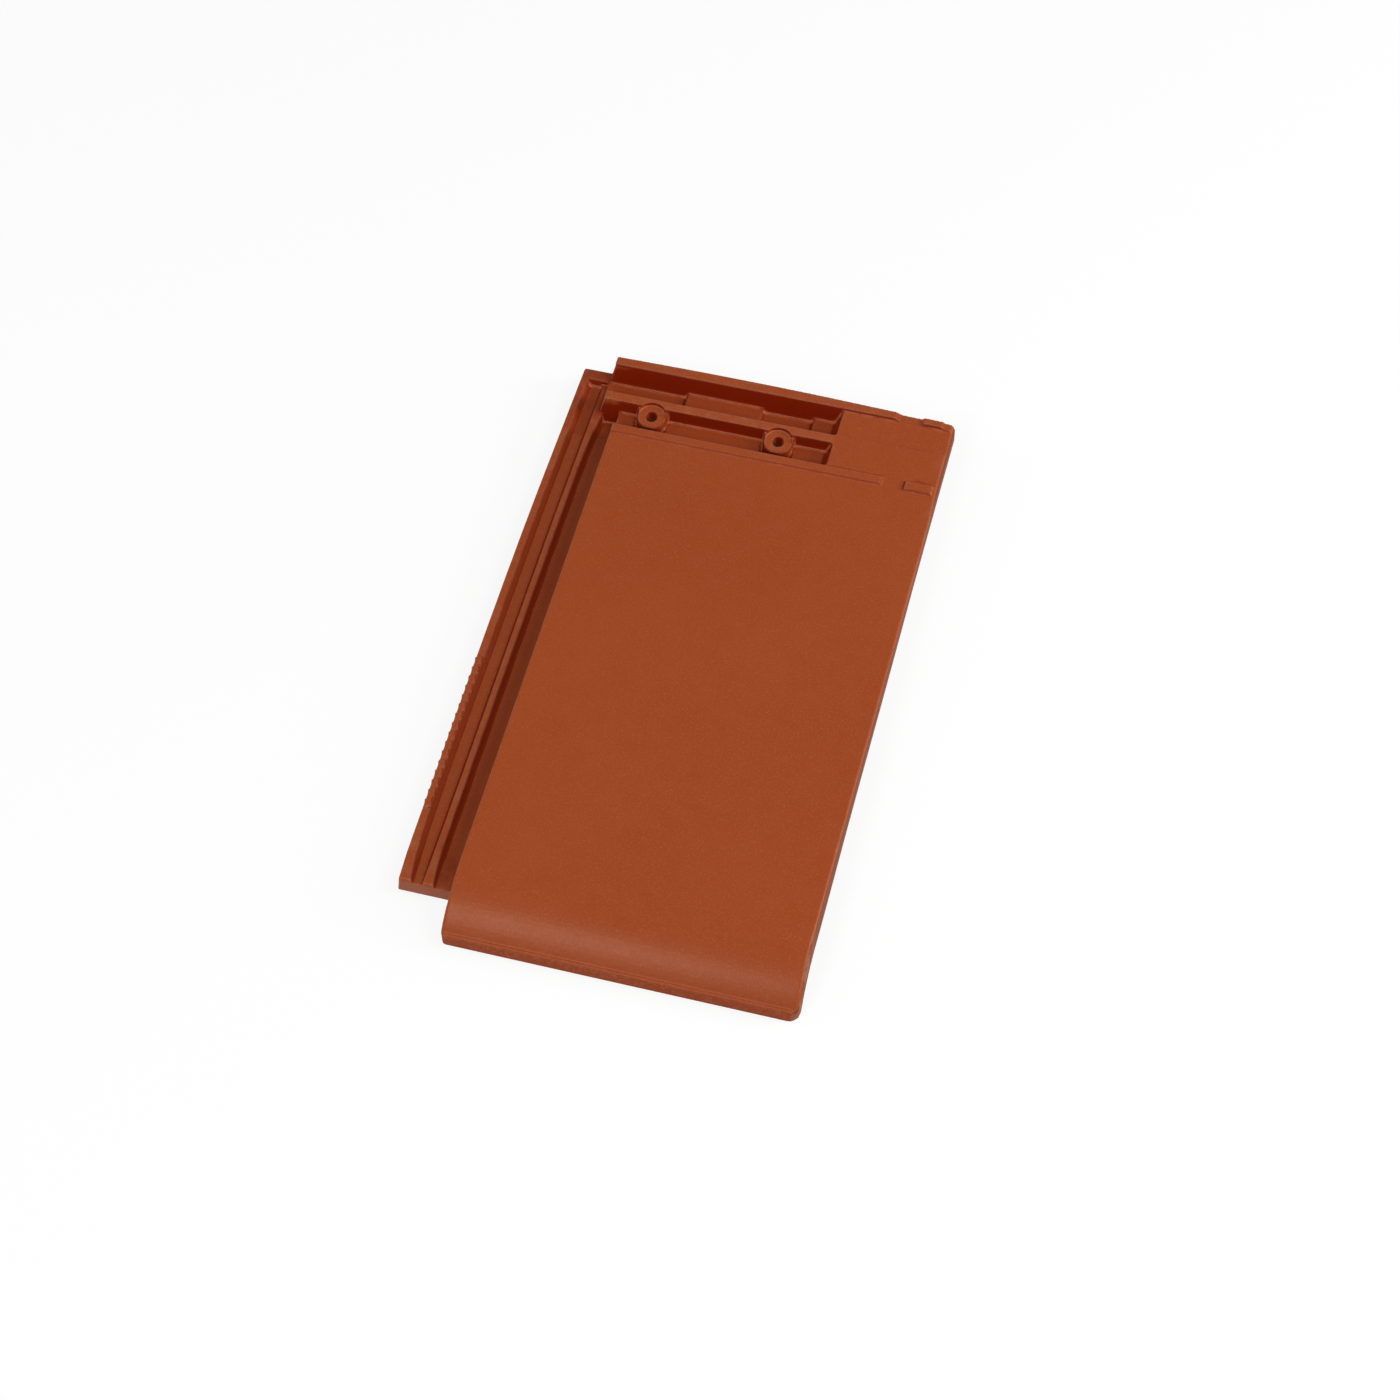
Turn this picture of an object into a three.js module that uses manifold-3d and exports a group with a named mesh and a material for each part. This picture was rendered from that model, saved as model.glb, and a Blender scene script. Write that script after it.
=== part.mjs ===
// A flat interlocking clay roof tile, pressed and fired in one piece.
//
// The weathered face is a plain slab that rolls down to a thick lip at the foot. A side lock, with two
// ribs and two channels, runs along the left edge one slab lower than the face. A head lock crosses the
// top: a ridge, a deep groove, a middle rib, a second groove that holds two nail bosses, and a low rib
// at the top of the face. The next tile's foot and right edge lie over these two locks.
//
// All sizes are in millimetres. X runs across the roof, Y up its slope and Z out of it. While the tile
// is modelled, x = 0 is the left edge of the face, y = 0 the front of the lip and z = 0 the face.

import * as THREE from 'three';
import { mergeVertices } from 'three/addons/utils/BufferGeometryUtils.js';
import Module from 'manifold-3d';

const wasm = await Module();
wasm.setup();

// ---------------------------------------------------------------------------------------------------
// Driving dimensions
// ---------------------------------------------------------------------------------------------------

const tile = {
  length: 478, // front of the lip to the back of the head ridge
  faceWidth: 235.8, // left edge of the face to the right side
  thickness: 13, // slab under the face
  restDrop: 31, // face down to what the tile lies on: lip and nibs
  edgeRadius: 1.5, // soft edge left by the press
};
const fromHead = (distance) => tile.length - distance;
const fromRight = (distance) => tile.faceWidth - distance;

const nose = {
  radius: 70, // the face rolls down over this radius
  angle: THREE.MathUtils.degToRad(43.5), // and through this angle
  creaseY: 2.7, // the roll ends in a crease behind the lip
  beadY: 1.5, // top of the lip's bead, in front of the crease
  beadRise: 0.7,
  footWidth: 10, // lip where it stands
  leftSpread: 0.9, // the lip's left end reaches this far past the face's edge
  leftCorner: 4, // corner radii in plan
  rightCorner: 8,
};

// The right side leans out below the face. Each pair is [y, how far its lower edge stands out].
const rightSide = {
  lean: 1.6,
  lowerEdge: [[0, 1.6], [60, 1.5], [150, 0.8], [fromHead(228), 0.5], [fromHead(128), -0.1]],
  chamferWidth: 2.4, // wider soft edge beside the head lock
  chamferDrop: 2.6,
  chamferY: [fromHead(104), fromHead(62)], // where it starts and where it is at its full width
};

// Back edge of the head, bowed a little by firing. Each pair is [x, distance short of the length].
const backEdge = [[-12, 1.2], [80, 0], [fromRight(38.8), 2.1], [tile.faceWidth, 3]];

const sideLock = {
  footY: 31.2, // the side lock stops this far short of the lip's front
  headY: fromHead(4.5),
  headLean: 1, // its head edge runs out this much towards the face
  top: -14, // tops of the two ribs
  underside: -29,
  lowerLeftX: -39.8, // its outer side stands on a straight lower edge
  footRadius: 2.6, // soft edge across the foot
  webWidth: 12, // wall that carries the side lock, under the face's edge
  // Plan of the side lock at the top of its ribs. Each pair is [y, x].
  rim: [[31.2, -38], [46, -38.7], [90, -39], [250, -39.5], [fromHead(137), -38.95],
    [fromHead(77), -37.85], [fromHead(4.5), -36.3]],
  grooveLeft: [[31.2, -30.2], [46, -32.4], [78, -33.9], [250, -34.3], [fromHead(137), -34.1],
    [fromHead(77), -33.2], [fromHead(13.2), -32]],
  grooveRight: [[31.2, -21.8], [90, -21.4], [250, -21.4], [fromHead(137), -21], [fromHead(77), -20.3],
    [fromHead(47), -19.8], [fromHead(13.2), -19.4]],
  channelLeft: [[31.2, -14.6], [40, -15.8], [60, -16.8], [90, -17], [fromHead(137), -16.9],
    [fromHead(77), -16.2], [fromHead(62), -15.4], [fromHead(51), -14.5], [fromHead(43), -13]],
};
const sideGroove = { floor: -19, headY: fromHead(13.2), leftDraft: 0.52, rightDraft: 0.22, headDraft: 0.5 };
const waterChannel = { floor: -20, leftDraft: 0.28, rightDraft: 0.05 };
const grooveRun = { footFloor: -16.6, length: 30 }; // floors of both grooves rise to this at the foot

// The inner rib sinks towards the head beside a thin wall, and ends in the groove's head.
const sunkRib = { left: -21.5, right: -16.4, startY: fromHead(46), headLevel: -17.4 };

const serration = {
  count: 16,
  firstY: 91.7,
  lastY: 208.7,
  width: 4.9,
  length: 7.3,
  cornerRadius: 1.2,
  angle: 0.25, // each tooth is turned this far out of the rib's line
  top: -12.9,
};

const headLock = {
  leftEndX: -12.2, // left end of the ribs at the level of the face
  leftEndLean: 0.25,
  thickEndX: fromRight(29.8), // the slab is thick under the head as far as this
  thickStartY: fromHead(73.4),
  underside: -20.5,
  draft: 0.29, // slope of the grooves' walls
  endDraft: 0.52, // slope of the walls at their ends
  floorRadius: 1.8,
  cornerRadius: 2.6,
};

// Each groove: where it opens at the face, the slope of its far wall, and its floors, each given as
// [left, right, level, radius of its corners in plan]. On the left they run out over the side lock.
const headGroove = {
  startY: fromHead(31.3),
  endY: fromHead(8.6),
  backDraft: 0.4,
  floors: [[-40, fromRight(86.9), -10.3], [-40, 39.6, -13.4],
    [fromRight(134.8), fromRight(103.3), -13]],
};
const nailGroove = {
  startY: fromHead(58.9),
  endY: fromHead(38.2),
  backDraft: 0.29,
  floors: [[-40, fromRight(131.8), -9.6], [fromRight(107.8), fromRight(86.9), -8.6], [-40, -8, -14],
    [16, 31.6, -13.4, 5], [fromRight(128), fromRight(112.2), -13.4, 5]],
};

const ridge = { height: 2, endX: fromRight(39.3) };
const faceRib = { startY: fromHead(67.1), endY: fromHead(59.5), height: 1.3, endX: fromRight(38.8) };
const land = { stepY: fromHead(30.4), drop: 0.6, startX: fromRight(81.8) }; // plain land right of the grooves

// Short block right of a gap in both ribs: [x, height over the face] of its corners.
const rightBlock = {
  ridge: [[fromRight(24.8), 0], [fromRight(22.6), 2], [fromRight(9.8), 2], [fromRight(7.8), 0.8],
    [fromRight(3.2), 0.6], [fromRight(1.8), 0]],
  faceRib: [[fromRight(24.6), 0], [fromRight(23.4), 1.8], [fromRight(4.6), 1.8], [fromRight(3.2), 0]],
  faceRibExtra: 1,
};

const boss = {
  centresX: [24.2, fromRight(119.3)],
  centreY: fromHead(44.3),
  radius: 8.6,
  top: -3.7, // at its centre
  tilt: 0.13, // its top falls towards the foot
  rootTop: -0.3, // beside the seat, where it joins the rib
  rootSlope: 1.4, // it falls from there to the seat
  flare: 5.4, // hollow corners that join it to the middle rib
  rootSpread: 2.2, // it is this much wider on each side at the rib
  draft: 0.2,
  seatRadius: 9.5, // seat for the nail's head, cut into the middle rib
  seatDraft: 0.2,
};
const nailHole = { mouthRadius: 4.2, radius: 3.1, taperDepth: 5 };

const nib = {
  centresX: [42, fromRight(77.8)],
  width: 38,
  startY: fromHead(33.4),
  endY: fromHead(15.4),
  draft: 2.5,
};
const footRib = {
  centreY: 49,
  rootWidth: 16,
  tipWidth: 8,
  tip: -21,
  startX: 16,
  endX: fromRight(31.8),
};
const overRib = {
  left: fromRight(17.3),
  right: fromRight(10.3),
  tip: -17,
  startY: 40,
  endY: fromHead(16),
};

const clay = new THREE.MeshStandardMaterial({ color: 0x9b4927, roughness: 0.55, metalness: 0 });

// ---------------------------------------------------------------------------------------------------
// Shapes and solids
// ---------------------------------------------------------------------------------------------------

const ARC_STEPS = 4; // of a rounded corner, unless the corner says otherwise
const NOSE_STEPS = 16;
const WELD = 0.002; // points nearer than this become one
const ABOVE = 10; // height of every cutter's top over the face
const BELOW = tile.restDrop + 10;

/** Polygon from corners [u, v, radius, steps]; a corner with a radius is rounded by an arc. */
function rounded(corners) {
  return corners.flatMap(([u, v, radius = 0, steps = ARC_STEPS], i) => {
    const corner = new THREE.Vector2(u, v);
    if (radius === 0) return [corner];
    const previous = corners.at(i - 1);
    const next = corners[(i + 1) % corners.length];
    const toPrevious = new THREE.Vector2(previous[0] - u, previous[1] - v);
    const toNext = new THREE.Vector2(next[0] - u, next[1] - v);
    const room = Math.min(toPrevious.length(), toNext.length());
    toPrevious.normalize();
    toNext.normalize();
    const halfAngle = Math.acos(toPrevious.dot(toNext)) / 2;
    const setback = Math.min(radius / Math.tan(halfAngle), room * 0.99);
    const arcRadius = setback * Math.tan(halfAngle);
    const centre = toPrevious.clone().add(toNext).setLength(arcRadius / Math.sin(halfAngle)).add(corner);
    const start = toPrevious.clone().multiplyScalar(setback).add(corner).sub(centre);
    const end = toNext.clone().multiplyScalar(setback).add(corner).sub(centre);
    const sweep = Math.atan2(start.cross(end), start.dot(end));
    const origin = new THREE.Vector2();
    return Array.from({ length: steps + 1 }, (_, s) =>
      start.clone().rotateAround(origin, (sweep * s) / steps).add(centre));
  });
}

const X = new THREE.Vector3(1, 0, 0);
const Y = new THREE.Vector3(0, 1, 0);
const Z = new THREE.Vector3(0, 0, 1);
const ACROSS = new THREE.Matrix4().makeBasis(Y, Z, X); // outlines in the YZ plane, placed at x
const UPWARD = new THREE.Matrix4(); // outlines in the XY plane, placed at z

/**
 * Solid through sections [position, corners] whose outlines have as many points as each other. Its
 * points can be moved by a function at the end.
 */
function loft(sections, placement = UPWARD, move = undefined) {
  const rings = sections.map(([, corners]) => rounded(corners));
  rings.filter((ring) => THREE.ShapeUtils.isClockWise(ring)).forEach((ring) => ring.reverse());
  const count = rings[0].length;
  const last = (rings.length - 1) * count;
  const triangles = [];
  for (let start = 0; start < last; start += count) {
    for (let i = 0; i < count; i += 1) {
      const a = start + i;
      const b = start + ((i + 1) % count);
      triangles.push(a, b, b + count, a, b + count, a + count);
    }
  }
  THREE.ShapeUtils.triangulateShape(rings[0], []).forEach(([a, b, c]) => triangles.push(a, c, b));
  THREE.ShapeUtils.triangulateShape(rings.at(-1), []).forEach(([a, b, c]) =>
    triangles.push(last + a, last + b, last + c));
  const positions = rings.flatMap((ring, s) => ring.flatMap((p) => [p.x, p.y, sections[s][0]]));
  const geometry = new THREE.BufferGeometry();
  geometry.setAttribute('position', new THREE.Float32BufferAttribute(positions, 3));
  geometry.setIndex(triangles);
  return solid(geometry.applyMatrix4(placement), move);
}

/** Solid from a closed geometry. */
function solid(geometry, move = undefined) {
  geometry.deleteAttribute('normal');
  geometry.deleteAttribute('uv');
  const merged = mergeVertices(geometry, 1e-4);
  const { position } = merged.attributes;
  for (let i = 0; move && i < position.count; i += 1) {
    const point = new THREE.Vector3().fromBufferAttribute(position, i);
    move(point);
    position.setXYZ(i, point.x, point.y, point.z);
  }
  return new wasm.Manifold(new wasm.Mesh({
    numProp: 3,
    vertProperties: Float32Array.from(position.array),
    triVerts: Uint32Array.from(merged.index.array),
  }));
}

/** Prism of an outline in the YZ plane, from x0 to x1. */
const alongX = (corners, x0, x1) => loft([[x0, corners], [x1, corners]], ACROSS);

/** Prism of an outline in the XZ plane, from y0 to y1. */
function alongY(corners, y0, y1) {
  const placement = new THREE.Matrix4().makeBasis(X, Z, Y.clone().negate());
  return loft([[-y1, corners], [-y0, corners]], placement);
}

/** Upright round bar or cone. */
function round(topRadius, bottomRadius, x, y, z0, z1, segments, move = undefined) {
  const geometry = new THREE.CylinderGeometry(topRadius, bottomRadius, z1 - z0, segments);
  return solid(geometry.rotateX(Math.PI / 2).translate(x, y, (z0 + z1) / 2), move);
}

/** Smooth curve through points [at, value], as a function. */
function curve(points) {
  const ats = points.map(([at]) => at);
  const values = points.map(([, value]) => value);
  const interpolant = new THREE.CubicInterpolant(ats, values, 1);
  return (at) => interpolant.evaluate(at)[0];
}

/** Evenly spaced numbers from first to last. */
const spread = (first, last, count) =>
  Array.from({ length: count }, (_, i) => THREE.MathUtils.lerp(first, last, i / (count - 1)));

/**
 * Cutter with a flat floor that is rounded into its walls. The outline is asked for at a depth under the
 * face and with an inset all round. Above the level top its walls are upright.
 */
function punch(outline, floor, radius, top = ABOVE) {
  const levels = spread(0, Math.PI / 2, 4).map((angle) =>
    [floor + radius * (1 - Math.cos(angle)), outline(-floor - radius * (1 - Math.cos(angle)),
      radius * (1 - Math.sin(angle)))]);
  levels.push([top, outline(-top, 0)]);
  if (top < ABOVE) levels.push([ABOVE, outline(-top, 0)]);
  return loft(levels);
}

// ---------------------------------------------------------------------------------------------------
// Slab, nose and head
// ---------------------------------------------------------------------------------------------------

/** Side profile of the tile, with its weathered side set back and its underside at the levels given. */
function profile(underside, headUnderside, setBack = 0) {
  const slope = Math.tan(nose.angle);
  const roll = nose.radius * Math.tan(nose.angle / 2); // face's corner to where the roll ends
  const cornerY = nose.creaseY + roll * Math.cos(nose.angle) + 0.3;
  const creaseZ = -(cornerY - nose.creaseY) * slope - setBack;
  const innerY = nose.footWidth + (tile.restDrop + underside) / slope;
  return [
    [tile.length, -setBack, tile.edgeRadius],
    [cornerY, -setBack, nose.radius, NOSE_STEPS],
    [nose.creaseY, creaseZ, 0.6],
    [nose.beadY, creaseZ + nose.beadRise, 0.5],
    [setBack, creaseZ - nose.beadRise, 0.9],
    [setBack, -tile.restDrop, tile.edgeRadius],
    [nose.footWidth, -tile.restDrop, tile.edgeRadius],
    [innerY, underside, nose.radius - 2 * tile.thickness, NOSE_STEPS],
    [headLock.thickStartY, underside],
    [headLock.thickStartY + 12, headUnderside],
    [tile.length, headUnderside, tile.edgeRadius],
  ];
}

/** Slab with its nose and lip, its long edges rounded, its right side leaning out. */
function slab() {
  const under = -tile.thickness;
  const r = tile.edgeRadius;
  const right = tile.faceWidth;
  const plain = loft([
    [-nose.leftSpread - 1, profile(under, under, 0.5 * r)],
    [0, profile(under, under, 0.2 * r)],
    [0.7 * r, profile(under, under)],
    [right - r, profile(under, under)],
    [right - 0.5 * r, profile(under, under, 0.13 * r)],
    [right - 0.13 * r, profile(under, under, 0.5 * r)],
    [right, profile(under, under, r)],
  ], ACROSS, (point) => {
    if (point.x > right - 0.01) point.x += rightSide.lean * Math.min(1, -point.z / tile.thickness);
  });
  const head = alongX([
    [headLock.thickStartY, under + 1],
    [headLock.thickStartY, under],
    [headLock.thickStartY + 12, headLock.underside],
    [tile.length, headLock.underside, tile.edgeRadius],
    [tile.length, under + 1],
  ], 0, headLock.thickEndX);
  return plain.add(head);
}

/** Side lock as a plain bar, and the end of the head lock that stands on it. */
function sideBar() {
  const leftX = Math.min(...sideLock.rim.map(([, x]) => x)) - 1;
  const bar = alongX([
    [sideLock.footY, sideLock.underside, tile.edgeRadius],
    [sideLock.headY, sideLock.underside, tile.edgeRadius],
    [sideLock.headY, sideLock.top, tile.edgeRadius / 2],
    [sideLock.footY, sideLock.top, sideLock.footRadius],
  ], leftX, sideLock.webWidth);
  // The wall that carries the bar goes up into the slab. It starts left of the face's edge, and the
  // channel trims it back to the edge.
  const web = { startY: sideLock.footY + tile.edgeRadius, endY: headLock.thickStartY + 12 };
  const wall = alongX([
    [web.startY, sideLock.underside + 2],
    [web.endY, sideLock.underside + 2],
    [web.endY, -tile.thickness / 2],
    [web.startY, -tile.thickness / 2],
  ], -3, sideLock.webWidth);
  const end = alongY([
    [sideLock.webWidth / 2, sideLock.underside],
    [sideLock.webWidth / 2, 0],
    [headLock.leftEndX, 0, tile.edgeRadius],
    [headLock.leftEndX + headLock.leftEndLean * sideLock.underside, sideLock.underside],
  ], nailGroove.endY + waterChannel.floor * nailGroove.backDraft, tile.length);
  return bar.add(wall).add(end);
}

/** Low rib across the tile: its outline from the side, cut to its outline from the front. */
function crossRib(startY, endY, height, draft, front) {
  const side = alongX([
    [startY - 6, -1],
    [startY - 6, 0],
    [startY, 0, 2.4],
    [startY + height * draft, height, 0.8],
    [endY, height, 0.8],
    [endY, -1],
  ], front[0][0], front.at(-1)[0]);
  const limits = alongY([[front[0][0], -2], ...front, [front.at(-1)[0], -2]], startY - 7, endY + 1);
  return side.intersect(limits);
}

/** Rim of the whole tile in plan. */
function rim() {
  const leftX = curve(sideLock.rim);
  const standsOut = curve(rightSide.lowerEdge);
  const rightX = (y) => tile.faceWidth + standsOut(y);
  const backY = curve(backEdge);
  const right = spread(nose.rightCorner * 2, tile.length - 12, 12).map((y) => [rightX(y), y]);
  const back = spread(tile.faceWidth - 8, headLock.leftEndX, 12).map((x) => [x, tile.length - backY(x)]);
  const cornerX = headLock.leftEndX - 3;
  const outline = (sideX) => [
    [-nose.leftSpread, 0, nose.leftCorner],
    [rightX(0), 0, nose.rightCorner],
    ...right,
    [rightX(tile.length), tile.length - backY(tile.faceWidth), 3],
    ...back,
    [cornerX, tile.length - backY(cornerX), 1],
    [cornerX, sideLock.headY + sideLock.headLean],
    [sideX(sideLock.headY), sideLock.headY, 2],
    ...spread(sideLock.headY - 3, sideLock.footY + 3, 24).map((y) => [sideX(y), y]),
    [sideX(sideLock.footY), sideLock.footY, 1],
    [0, sideLock.footY],
    [-nose.leftSpread, nose.leftCorner * 2],
  ];
  const lower = outline(() => sideLock.lowerLeftX);
  const upper = outline(leftX);
  return loft([[-BELOW, lower], [sideLock.underside, lower], [sideLock.top, upper], [ABOVE, upper]]);
}

// ---------------------------------------------------------------------------------------------------
// Grooves
// ---------------------------------------------------------------------------------------------------

/** Groove between the two ribs of the side lock. */
function sideGrooveCut() {
  const leftX = curve(sideLock.grooveLeft);
  const rightX = curve(sideLock.grooveRight);
  const ys = spread(sideLock.footY, sideGroove.headY - 12, 22);
  const outline = (depth, inset) => {
    const down = depth + sideLock.top;
    const left = (y) => leftX(y) + sideGroove.leftDraft * down + inset;
    const right = (y) => rightX(y) - sideGroove.rightDraft * down - inset;
    const headY = sideGroove.headY - sideGroove.headDraft * down - inset;
    return [
      [left(ys[0]), 0],
      [right(ys[0]), 0],
      ...ys.map((y) => [right(y), y]),
      [right(headY), headY, 1.8],
      [left(headY), headY, 2.6],
      ...ys.toReversed().map((y) => [left(y), y]),
    ];
  };
  return punch(outline, sideGroove.floor, 1.6, sideLock.top);
}

/** Channel between the inner rib and the face. */
function waterChannelCut() {
  const leftX = curve(sideLock.channelLeft);
  const ys = spread(sideLock.footY, nailGroove.endY - 10, 26);
  const outline = (depth, inset) => {
    const down = Math.max(0, depth + sideLock.top);
    const left = (y) => leftX(y) + waterChannel.leftDraft * down + inset;
    const rightX = -waterChannel.rightDraft * depth - inset;
    const headY = nailGroove.endY - nailGroove.backDraft * depth - inset;
    return [
      [left(ys[0]), sideLock.footY - 8],
      [rightX, sideLock.footY - 8],
      [rightX, headY, 1],
      [left(headY), headY, 2],
      ...ys.toReversed().map((y) => [left(y), y]),
    ];
  };
  const lower = punch(outline, waterChannel.floor, 1.4, sideLock.top);
  const upper = loft([[sideLock.top - 0.01, outline(-sideLock.top, 0)], [ABOVE, outline(-ABOVE, 0)]]);
  return lower.intersect(loft([[-BELOW, blank()], [sideLock.top, blank()]])).add(upper);
}

/** Plan larger than the tile. */
const blank = () => [[-99, -99], [tile.faceWidth + 99, -99], [tile.faceWidth + 99, tile.length + 99],
  [-99, tile.length + 99]];

/** Ramp under both grooves of the side lock at their foot. */
function grooveRamp() {
  const startY = sideLock.footY - 1;
  const endY = sideLock.footY + grooveRun.length;
  return alongX([[startY, -BELOW], [startY, grooveRun.footFloor], [endY, waterChannel.floor],
    [endY, -BELOW]], -99, 0);
}

/** Cutter for the top of the inner rib where it sinks towards the head. */
function sunkRibCut() {
  const endY = sideGroove.headY - 0.6;
  const outline = [[sunkRib.left, sunkRib.startY], [sunkRib.right, sunkRib.startY],
    [sunkRib.right, endY, 2], [sunkRib.left, endY]];
  const slope = (sideLock.top - sunkRib.headLevel) / (endY - sunkRib.startY);
  return loft([[sideLock.top, outline], [ABOVE, outline]], UPWARD, (point) => {
    if (point.z < 0) point.z -= slope * (point.y - sunkRib.startY);
  });
}

/** Pocket of the head lock, with sloping walls and a floor from left to right at a level. */
function pocket(groove, [left, right, level, cornerRadius = headLock.cornerRadius]) {
  const outline = (depth, inset) => {
    const outward = headLock.endDraft * (-level - depth) - inset + headLock.floorRadius;
    const radius = Math.max(0.8, cornerRadius - inset);
    const startY = groove.startY + headLock.draft * depth + inset;
    const endY = groove.endY - groove.backDraft * depth - inset;
    return [
      [left - outward, startY, radius],
      [right + outward, startY, radius],
      [right + outward, endY, radius],
      [left - outward, endY, radius],
    ];
  };
  return punch(outline, level, headLock.floorRadius);
}

/** Nail boss: a tongue from the middle rib with hollow corners. */
function bossBody(x) {
  const lowest = Math.min(...nailGroove.floors.map(([, , level]) => level)) - 1;
  const outline = (growth) => {
    const radius = boss.radius + growth;
    const rootY = nailGroove.endY - growth;
    const outerX = radius + boss.rootSpread + boss.flare + 2;
    const arc = [radius * 0.995, 8];
    return [
      [x - outerX, nailGroove.endY + 3],
      [x - outerX, rootY],
      [x - radius - boss.rootSpread, rootY, boss.flare - growth],
      [x - radius, boss.centreY - radius, ...arc],
      [x + radius, boss.centreY - radius, ...arc],
      [x + radius + boss.rootSpread, rootY, boss.flare - growth],
      [x + outerX, rootY],
      [x + outerX, nailGroove.endY + 3],
    ];
  };
  const tongue = loft([lowest, boss.rootTop].map((z) => [z, outline((boss.top - z) * boss.draft)]));
  const reach = boss.radius * 3;
  const run = (boss.rootTop - boss.top) / boss.rootSlope;
  return tongue.subtract(alongX([
    [nailGroove.endY, ABOVE],
    [nailGroove.endY, boss.rootTop],
    [nailGroove.endY - run, boss.top],
    [nailGroove.endY - run, ABOVE],
  ], x - reach, x + reach));
}

/** Tilts the level of a boss's top. */
function tiltTop(point) {
  if (point.z < 0) point.z += (point.y - boss.centreY) * boss.tilt;
}

/** Teeth along the outer rib of the side lock. */
function serrations() {
  const rimX = curve(sideLock.rim);
  const { width, length, cornerRadius, angle } = serration;
  return spread(serration.firstY, serration.lastY, serration.count).map((y) => {
    const centre = new THREE.Vector2(rimX(y) + width / 2, y);
    const outline = (inset) => [[-1, -1], [1, -1], [1, 1], [-1, 1]].map(([u, v]) => {
      const corner = new THREE.Vector2(u * (width / 2 - inset), v * (length / 2 - inset));
      corner.rotateAround(new THREE.Vector2(), angle).add(centre);
      return [corner.x, corner.y, Math.max(0.4, cornerRadius - inset)];
    });
    return loft([[sideLock.top - 3, outline(0)], [sideLock.top + 0.2, outline(0)],
      [serration.top - 0.3, outline(0.35)], [serration.top, outline(1)]]);
  });
}

// ---------------------------------------------------------------------------------------------------
// The tile
// ---------------------------------------------------------------------------------------------------

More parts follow.
